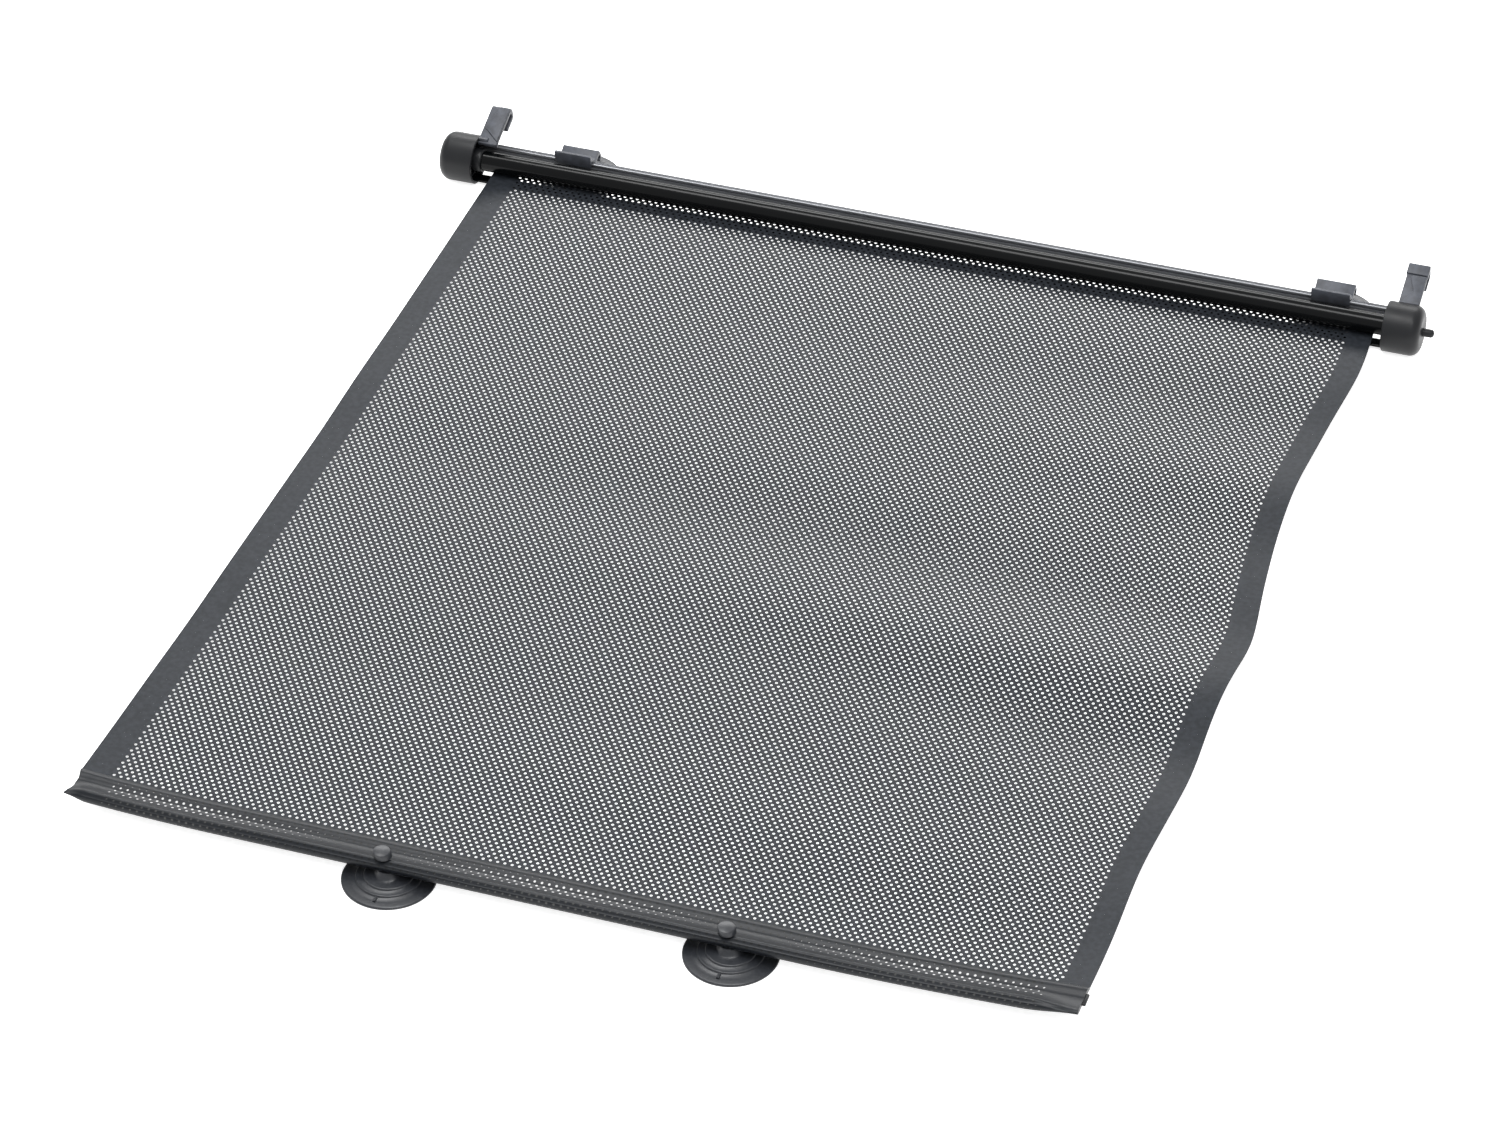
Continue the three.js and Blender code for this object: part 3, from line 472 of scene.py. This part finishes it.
# First column of holes and number of columns of each third of the film.
PANELS = {"left": (0, 43), "middle": (43, 44), "right": (87, COLUMNS - 87)}
HEM_JOIN = FLOOR + 8.0
SAG = 2.4
RIPPLE_LEFT, RIPPLE_RIGHT = 0.28, 1.54
WAVES = [(3.6, 0.25, 1.0), (6.1, -0.3, 0.5)]
# Rise of the hem at each end, and how far in from the end it begins.
LIFT = {"left": (2.5, 70.0), "right": (4.0, 120.0)}
# How far the right edge lies to the right, by the share of the way from the roller to the hem.
SWAY = [(0, 0), (0.07, 1.9), (0.16, -3.3), (0.27, -5.5), (0.34, -4.8), (0.42, -0.8), (0.5, 4.8), (0.55, 2.4),
        (0.62, 1), (0.7, 2.4), (0.76, 1.2), (0.83, -1.4), (0.92, 0.2), (1, 0)]
SWAY_PASSES = 12


def lifted(across):
    """How far the slat's bow lifts the hem off its height, from the places across the film."""
    rise = 0
    for side, (amount, reach) in LIFT.items():
        rise = rise + amount * np.clip((OUT[side] * across - HALF + reach) / reach, 0, 1) ** 2
    return rise


def lie(flat):
    """Takes flat places (across, along from the roller's underside) to where the film lies."""
    across, along = flat[:, 0], flat[:, 1]
    u, s = (across + HALF) / (2 * HALF), np.clip(along / -FILM_END, 0, 1)
    grid = np.linspace(0, 1, 101)
    sway = np.interp(grid, *zip(*SWAY))
    for _ in range(SWAY_PASSES):
        sway[1:-1] = (sway[:-2] + 2 * sway[1:-1] + sway[2:]) / 4
    ripple = sum(share * np.sin(2 * math.pi * (down * s + over * u)) for down, over, share in WAVES)
    hang = (RIPPLE_LEFT + RIPPLE_RIGHT * u * u) * ripple - SAG
    wound = np.clip(along, None, 0) / ROLL_R
    height = -ROLL_R * np.cos(wound) + (HEM_JOIN + ROLL_R) * s + hang * np.sin(math.pi * s)
    height += lifted(across) * s ** 6
    place = [across + np.interp(s, grid, sway) * u ** 3,
             np.where(along < 0, -ROLL_R * np.sin(wound), -along), height]
    return (np.stack(place, 1) + np.array(AXIS)) / 1000


def fill_quads(bm, xs, ts):
    """Adds a grid of plain film."""
    rows = [[bm.verts.new((x, t, 0)) for x in xs] for t in ts]
    for a, b in zip(rows, rows[1:]):
        for i in range(len(xs) - 1):
            bm.faces.new((a[i], a[i + 1], b[i + 1], b[i]))


# Calendered vinyl: smooth and black, with a faint mottle where it has been wound up.
vinyl, at = finish("shade_vinyl")
mottle = add(vinyl, "ShaderNodeTexNoise", {"Vector": at, "Scale": 420.0, "Detail": 4.0})
shade = two_tone(vinyl, mottle.outputs[0], ((0.35, "#1b1e22"), (0.65, "#25282d")))
bump = add(vinyl, "ShaderNodeBump", {"Height": mottle.outputs[0], "Strength": 0.25, "Distance": 0.00005})
add(vinyl, "Shader", {"Base Color": shade, "Roughness": 0.45, "Specular IOR Level": 0.12,
                      "Normal": bump.outputs[0]})

# A tile of two holes is laid across and down a panel, and then the plain margin and the wrap are
# added, flat. lie() takes the whole panel to its place.
edge = COLUMNS / 2 * PITCH
around = [(0.5, 0), (0.5, 0.5), (0, 0.5), (-0.5, 0.5), (-0.5, 0), (-0.5, -0.5), (0, -0.5), (0.5, -0.5)]
margins = {"left": np.linspace(-HALF, -edge, 5), "right": np.linspace(edge, HALF, 5)}
for side, (first, count) in PANELS.items():
    start = first * PITCH - edge
    tile = bmesh.new()
    for row in (0, 1):
        middle = Vector((start + (0.5 + 0.5 * row) * PITCH, (row + 0.5) * ROW, 0))
        rim = [tile.verts.new(middle + Vector((px * PITCH, py * ROW, 0))) for px, py in around]
        hole = [tile.verts.new(middle + Vector((math.cos(a), math.sin(a), 0)) * HOLE_R)
                for a in np.radians(range(0, 360, 45))]
        for i in range(8):
            j = (i + 1) % 8
            tile.faces.new((rim[i], rim[j], hole[j], hole[i]))
    mesh = bpy.data.meshes.new("tile")
    tile.to_mesh(mesh)
    tile.free()
    panel = bpy.data.objects.new("film_" + side, mesh)
    bpy.context.scene.collection.objects.link(panel)
    for copies, offset in ((count, (PITCH, 0, 0)), (ROWS // 2, (0, 2 * ROW, 0))):
        array = panel.modifiers.new("array", "ARRAY")
        array.use_relative_offset = False
        array.use_constant_offset = True
        array.count = copies
        array.constant_offset_displace = offset
    perforated = bpy.data.meshes.new_from_object(panel.evaluated_get(bpy.context.evaluated_depsgraph_get()))
    panel.modifiers.clear()
    bm = bmesh.new()
    bm.from_mesh(perforated)
    if side in margins:
        stops = margins[side]
        for row in range(ROWS):
            shift = 0.5 * PITCH * (row % 2) * (HALF - OUT[side] * stops) / (HALF - edge)
            fill_quads(bm, stops + shift, (row * ROW, (row + 1) * ROW))
    low = -HALF if side == "left" else start
    high = HALF if side == "right" else start + count * PITCH
    fill_quads(bm, np.linspace(low, high, 39), np.linspace(-WRAP, 0, 13))
    bmesh.ops.remove_doubles(bm, verts=bm.verts, dist=0.01)
    bmesh.ops.reverse_faces(bm, faces=bm.faces)
    bm.to_mesh(mesh)
    bm.free()
    flat = np.empty(len(mesh.vertices) * 3, np.float32)
    mesh.vertices.foreach_get("co", flat)
    mesh.vertices.foreach_set("co", lie(flat.reshape(-1, 3).astype(float)).astype(np.float32).ravel())
    mesh.shade_smooth()
    mesh.materials.clear()
    mesh.materials.append(vinyl)
    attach(panel, "headrail")
    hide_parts("shade_film")
    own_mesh(panel)


# Hem. The film's end, folded back and welded into a sleeve round a flat plastic slat, whose end
# just shows at the right. The two lower cups are buttoned through it.
HEM_FRONT, HEM_DEPTH, HEM_LOW = -511.0, 18.0, FLOOR + 6.4
# The sleeve's outline over the top and back under it: distance from its front edge, and height.
HEM_TOP = [(18, 1.4), (17.8, 2.5), (16.4, 3.1), (14.6, 3.2), (13, 2.7), (12, 2.3), (10.6, 2.3), (8.6, 2.7),
           (6.4, 3.4), (4.6, 4.3), (3.4, 4.95), (2.5, 5.0), (1.8, 4.6), (1.2, 4.1), (0.5, 3.9), (0.1, 3.3),
           (0, 2.4), (0.1, 1.0), (0.6, 0.3), (1.4, 0)]
HEM_UNDER = [(5, 0), (10, 0), (13, 0.3), (16, 0.9), (17.8, 1.0)]
FLATTEN = {"reach": {"left": 10.0, "right": 24.0}, "height": 1.2, "share": 0.7, "depth": 16.0}
CURL = {"rise": 1.6, "depth": 4.0}
PINCH = {"left": 1.8, "right": 0.5}
SLAT_OUTLINE = [(8, 0.4), (14.5, 0.5), (14.5, 1.8), (8, 1.8)]
SLAT_INSIDE, SLAT_PROUD = 1.0, 1.0
LAYER_DRIFT = 340.0
# Grey of the painted light seen through both layers' holes, by the share of the way round the hem.
PAINTED_LIGHT_ROWS = [(0.2, 0.0), (0.22, 0.5), (0.52, 0.5), (0.54, 0.02), (1.0, 0.08)]

# Two layers of the vinyl, with painted holes. The lower layer's holes drift against the upper
# one's; where they meet, light through both is painted as small grey dots, brightest in a band
# round the hem, and elsewhere the upper layer's holes are painted near black as shade inside the
# sleeve. The pattern follows the cloth: X is the place across it, and Y the length round the hem,
# in millimetres.
double, at = finish("double_vinyl")
place = add(double, "ShaderNodeUVMap", {}, uv_map="cloth_mm")
split = add(double, "ShaderNodeSeparateXYZ", {"Vector": place.outputs[0]})
layers = []
for drift, offset in ((0.0, {"X": 0.0, "Y": 0.0}), (1 / LAYER_DRIFT, {"X": 0.5, "Y": 0.52})):
    rows = []
    for half in (0.0, 0.5):
        squares = []
        for axis, size in (("X", PITCH), ("Y", 2 * ROW)):
            cell = add(double, "ShaderNodeMath", {0: split.outputs[axis], 1: 1 / size,
                                                  2: half + 80 + offset[axis]}, operation="MULTIPLY_ADD")
            moved = add(double, "ShaderNodeMath", {0: split.outputs["X"], 1: drift, 2: cell.outputs[0]},
                        operation="MULTIPLY_ADD")
            part = add(double, "ShaderNodeMath", {0: moved.outputs[0]}, operation="FRACT")
            mid = add(double, "ShaderNodeMath", {0: part.outputs[0], 1: 0.5}, operation="SUBTRACT")
            long = add(double, "ShaderNodeMath", {0: mid.outputs[0], 1: size}, operation="MULTIPLY")
            squares.append(add(double, "ShaderNodeMath", {0: long.outputs[0], 1: 2.0}, operation="POWER"))
        far = add(double, "ShaderNodeMath", {0: squares[0].outputs[0], 1: squares[1].outputs[0]},
                  operation="ADD")
        rows.append(add(double, "ShaderNodeMapRange", {"Value": far.outputs[0], "From Min": HOLE_R ** 2,
                                                       "From Max": (HOLE_R - 0.2) ** 2}))
    layers.append(add(double, "ShaderNodeMath", {0: rows[0].outputs[0], 1: rows[1].outputs[0]},
                      operation="MAXIMUM"))
both = add(double, "ShaderNodeMath", {0: layers[0].outputs[0], 1: layers[1].outputs[0]},
           operation="MULTIPLY")
depth = add(double, "ShaderNodeMapRange", {"Value": split.outputs["Y"], "From Max": 24.0})
painted_light = add(double, "ShaderNodeValToRGB", {"Fac": depth.outputs[0]})
for position, grey in PAINTED_LIGHT_ROWS:
    last = position == 1
    stop = painted_light.color_ramp.elements[-1] if last else painted_light.color_ramp.elements.new(position)
    stop.color = (grey, grey, grey, 1)
aside = add(double, "ShaderNodeMath", {0: split.outputs["X"]}, operation="ABSOLUTE")
inside = add(double, "ShaderNodeMath", {0: aside.outputs[0], 1: HALF - MARGIN - 5}, operation="LESS_THAN")
shown = add(double, "ShaderNodeMath", {0: both.outputs[0], 1: inside.outputs[0]}, operation="MULTIPLY")
punched = add(double, "ShaderNodeMath", {0: layers[0].outputs[0], 1: inside.outputs[0]},
              operation="MULTIPLY")
mottle = add(double, "ShaderNodeTexNoise", {"Vector": at, "Scale": 420.0, "Detail": 4.0})
plain = add(double, "ShaderNodeMixRGB", {"Fac": mottle.outputs[0], "Color1": linear("#0e1013"),
                                         "Color2": linear("#191c21")})
# The upper layer's own holes are painted near black, as shade inside the sleeve.
upper = add(double, "ShaderNodeMixRGB", {"Fac": punched.outputs[0], "Color1": plain.outputs[0],
                                         "Color2": linear("#08090a")})
colour = add(double, "ShaderNodeMixRGB", {"Fac": shown.outputs[0], "Color1": upper.outputs[0],
                                          "Color2": painted_light.outputs["Color"]})
bump = add(double, "ShaderNodeBump", {"Height": mottle.outputs[0], "Strength": 0.3, "Distance": 0.00005})
add(double, "Shader", {"Base Color": colour.outputs[0], "Roughness": 0.34, "Specular IOR Level": 0.17,
                       "Normal": bump.outputs[0]})

bm = bmesh.new()
cloth = bm.loops.layers.uv.new("cloth_mm")
outline = HEM_TOP + HEM_UNDER
lengths = np.concatenate([[0], np.cumsum([math.dist(a, b) for a, b in zip(outline, outline[1:])])])
stations = np.concatenate([np.linspace(-HALF, -HALF + 12, 9), np.linspace(-HALF + 16, HALF - 28, 80),
                           np.linspace(HALF - 25, HALF, 14)])
rings = []
for x in stations:
    side = "left" if x < 0 else "right"
    full = min(1, (HALF - abs(x)) / FLATTEN["reach"][side])
    full = full * full * (3 - 2 * full)
    ring = []
    for from_front, height in outline:
        kept = 1 - FLATTEN["share"] * (1 - full) * max(0, 1 - from_front / FLATTEN["depth"])
        flat = FLATTEN["height"] + (height - FLATTEN["height"]) * kept
        curl = CURL["rise"] * (1 - full) * max(0, 1 - from_front / CURL["depth"])
        inward = PINCH[side] * (1 - full) ** 3 * math.sin(math.pi * from_front / HEM_DEPTH)
        ring.append(bm.verts.new((x - OUT[side] * inward, HEM_FRONT + from_front,
                                  HEM_LOW + flat + curl + float(lifted(x)))))
    rings.append(ring)
count = len(outline)
for x, ring, other, after in zip(stations, rings, rings[1:], stations[1:]):
    for i in range(count):
        j = (i + 1) % count
        face = bm.faces.new((ring[i], ring[j], other[j], other[i]))
        ends = lengths[i], lengths[j] if j else lengths[i] + 1
        places = (x, ends[0]), (x, ends[1]), (after, ends[1]), (after, ends[0])
        for loop, place in zip(face.loops, places):
            loop[cloth].uv = place
bm.faces.new(rings[0])
bm.faces.new(rings[-1])
hem = make("hem", bm, double, 40)
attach(hem, "pull_bar")
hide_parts("hem_sleeve")

bm = bmesh.new()
run(bm, [(HEM_FRONT + y, HEM_LOW + z) for y, z in SLAT_OUTLINE], -HALF + SLAT_INSIDE, HALF + SLAT_PROUD)
for side, (_, reach) in LIFT.items():
    for back_from_end in np.linspace(reach, 4, 14):
        bmesh.ops.bisect_plane(bm, geom=bm.verts[:] + bm.edges[:] + bm.faces[:],
                               plane_co=(OUT[side] * (HALF - back_from_end), 0, 0), plane_no=(1, 0, 0))
soften(bm, 0.4, 2, 50)
for vert in bm.verts:
    vert.co.z += float(lifted(vert.co.x))
slat = make("slat", bm, nylon, 40)
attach(slat, "pull_bar")
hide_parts("hem_slat")


# Floor, light and camera. A white sweep under soft light, seen as in the photograph: from the
# front, 38 degrees up and 19 degrees to the right.
# The lamps, each with its place, size and power, and DISTANCE are in metres and watts.
FLOOR_GLOW = 0.75
WORLD_LIGHT, WORLD_SEEN = 0.5, 1.0
LAMPS = [("key", (0.9, -1.1, 1.6), (1.2, 1.2), 14.0), ("fill", (-1.3, -0.4, 1.3), (1.4, 1.4), 8.0),
         ("overhead", (-0.1, -0.1, 2.0), (2.4, 0.45), 46.0), ("back", (-0.35, 1.6, 0.97), (1.9, 0.45), 22.0)]
REFLECTED = ("overhead", "back")
AZIMUTH, ELEVATION, ROLL = 19.35, 37.79, -0.77
LOOKED_AT, DISTANCE = Vector((2.0, -268.6, 0)), 2.370
FOCAL_PIXELS, PHOTO_PIXELS, SENSOR = 5267, 1500, 36


def background_rays(owner):
    """Says 1 for what the camera, a reflection or a clear piece sees, and 0 for light on the object."""
    path = add(owner, "ShaderNodeLightPath", {})
    seen = add(owner, "ShaderNodeMath", {0: path.outputs["Is Camera Ray"], 1: path.outputs["Is Glossy Ray"]},
               operation="MAXIMUM")
    return add(owner, "ShaderNodeMath", {0: seen.outputs[0], 1: path.outputs["Is Transmission Ray"]},
               operation="MAXIMUM").outputs[0]


white, at = finish("white_floor")
glow = add(white, "ShaderNodeMath", {0: background_rays(white), 1: FLOOR_GLOW}, operation="MULTIPLY")
add(white, "Shader", {"Base Color": linear("#f4f4f4"), "Roughness": 1.0, "Emission Color": linear("#ffffff"),
                      "Emission Strength": glow.outputs[0]})
bm = bmesh.new()
bmesh.ops.create_grid(bm, x_segments=1, y_segments=1, size=6000)
bmesh.ops.translate(bm, verts=bm.verts, vec=-AXIS - Vector((0, 0, 0.2)))
ground = make("ground", bm, white)
ground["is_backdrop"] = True

world = bpy.data.worlds.new("studio")
world.use_nodes = True
bpy.context.scene.world = world
level = add(world, "ShaderNodeMapRange", {"Value": background_rays(world), "To Min": WORLD_LIGHT,
                                          "To Max": WORLD_SEEN})
sky = world.node_tree.nodes["Background"]
sky.inputs["Color"].default_value = linear("#ffffff")
world.node_tree.links.new(level.outputs[0], sky.inputs["Strength"])

# Only the two long lamps show in the roller and the rail; the other two light without a glare.
for name, place, size, power in LAMPS:
    lamp = bpy.data.lights.new(name, "AREA")
    lamp.shape = "RECTANGLE"
    lamp.energy, lamp.size, lamp.size_y = power, *size
    softbox = bpy.data.objects.new(name, lamp)
    softbox.location = place
    softbox.rotation_euler = (-Vector(place)).to_track_quat("-Z", "Y").to_euler()
    softbox.visible_glossy = name in REFLECTED
    bpy.context.scene.collection.objects.link(softbox)
    softbox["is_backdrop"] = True

azimuth, elevation, roll = map(math.radians, (AZIMUTH, ELEVATION, ROLL))
back = Vector((math.sin(azimuth) * math.cos(elevation), -math.cos(azimuth) * math.cos(elevation),
               math.sin(elevation)))
right = Vector((math.cos(azimuth), math.sin(azimuth), 0))
up = back.cross(right)
rolled_right = right * math.cos(roll) + up * math.sin(roll)
rolled_up = up * math.cos(roll) - right * math.sin(roll)
lens = bpy.data.cameras.new("camera")
lens.lens, lens.sensor_width = FOCAL_PIXELS / PHOTO_PIXELS * SENSOR, SENSOR
camera = bpy.data.objects.new("camera", lens)
target = (LOOKED_AT + AXIS) / 1000
camera.matrix_world = (Matrix.Translation(target + back * DISTANCE)
                       @ Matrix((rolled_right, rolled_up, back)).transposed().to_4x4())
bpy.context.scene.collection.objects.link(camera)
bpy.context.scene.camera = camera
bpy.context.scene.view_settings.view_transform = "Standard"

low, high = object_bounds()
